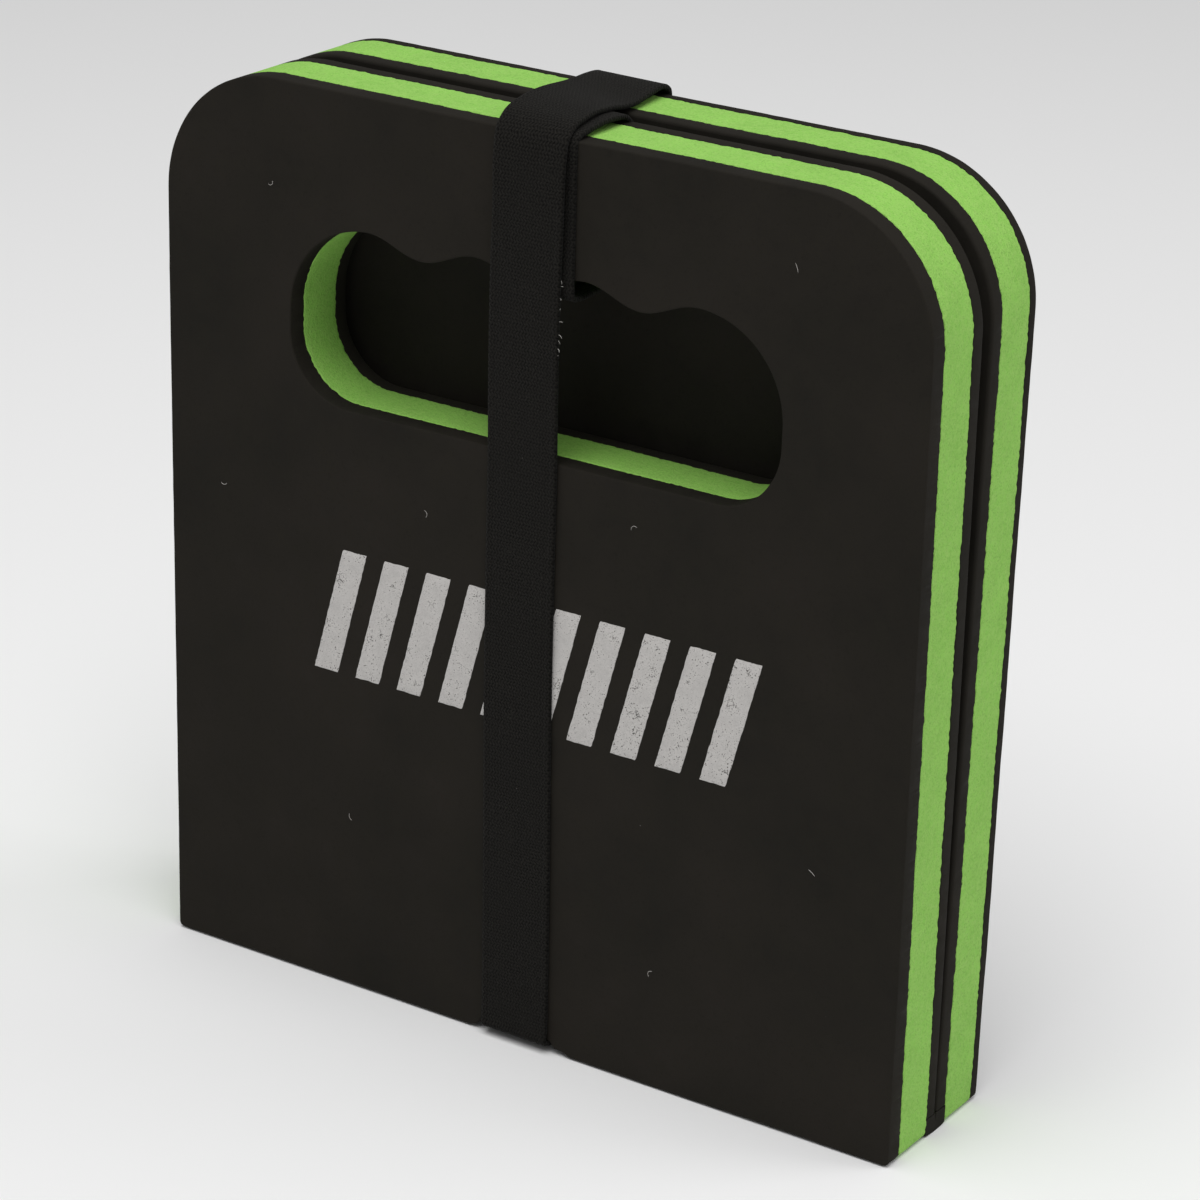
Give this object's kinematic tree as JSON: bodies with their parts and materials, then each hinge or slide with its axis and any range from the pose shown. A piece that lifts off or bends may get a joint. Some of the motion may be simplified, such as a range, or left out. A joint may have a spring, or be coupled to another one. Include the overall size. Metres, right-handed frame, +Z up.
{
  "type": "folding foam kneeling pad",
  "caption": "Folding kneeling pad of layered foam with a finger-grip handle cut-out and an elastic strap that holds it shut.",
  "frame": {"origin": "centre of the bounding box's underside, with the pad folded and standing on its fold edge; the fold's own centre plane lies 2.05 mm behind it, at y = +0.00205", "axes": "+Z up from the fold to the handle edge, X across the pad, -Y towards the panel that has the handle cut-out"},
  "size_m": [0.22, 0.0562, 0.2466],
  "materials": {
    "foam_skin": "matte closed-cell foam skin, near-black",
    "foam_core": "matte cut closed-cell foam, lime green",
    "webbing": "knitted elastic webbing, black",
    "thread": "black polyester sewing thread",
    "ink": "silver-grey screen print, thin and slightly worn",
    "lint": "pale lint and frayed elastic ends"
  },
  "bodies": {
    "fold": {"fold_hinge": "foam_skin"},
    "front_panel": {"front_outer_skin": "foam_skin", "front_core": "foam_core", "front_inner_skin": "foam_skin", "handle_loop": "webbing"},
    "rear_panel": {"rear_outer_skin": "foam_skin", "rear_core": "foam_core", "rear_inner_skin": "foam_skin"},
    "strap": {"strap_band": "webbing", "loop_stitching": "thread", "band_stitching": "thread"}
  },
  "joints": [
    {"name": "front_fold", "type": "hinge", "parent": "fold", "child": "front_panel", "pos_m": [0, -0.01107, 0.01298], "axis": [1, 0, 0], "range_deg": [0, 90], "deforming": ["fold_hinge"]},
    {"name": "rear_fold", "type": "hinge", "parent": "fold", "child": "rear_panel", "pos_m": [0, 0.01392, 0.01172], "axis": [1, 0, 0], "range_deg": [-90, 0]},
    {"name": "strap_swing", "type": "hinge", "parent": "front_panel", "child": "strap", "pos_m": [0, -0.02165, 0.24595], "axis": [1, 0, 0], "range_deg": [-180, 0], "deforming": ["strap_band", "loop_stitching", "band_stitching"]}
  ],
  "couplings": [
    {"joint": "rear_fold", "follows": "front_fold", "ratio": -1},
    {"joint": "strap_swing", "follows": "front_fold", "ratio": -2}
  ]
}
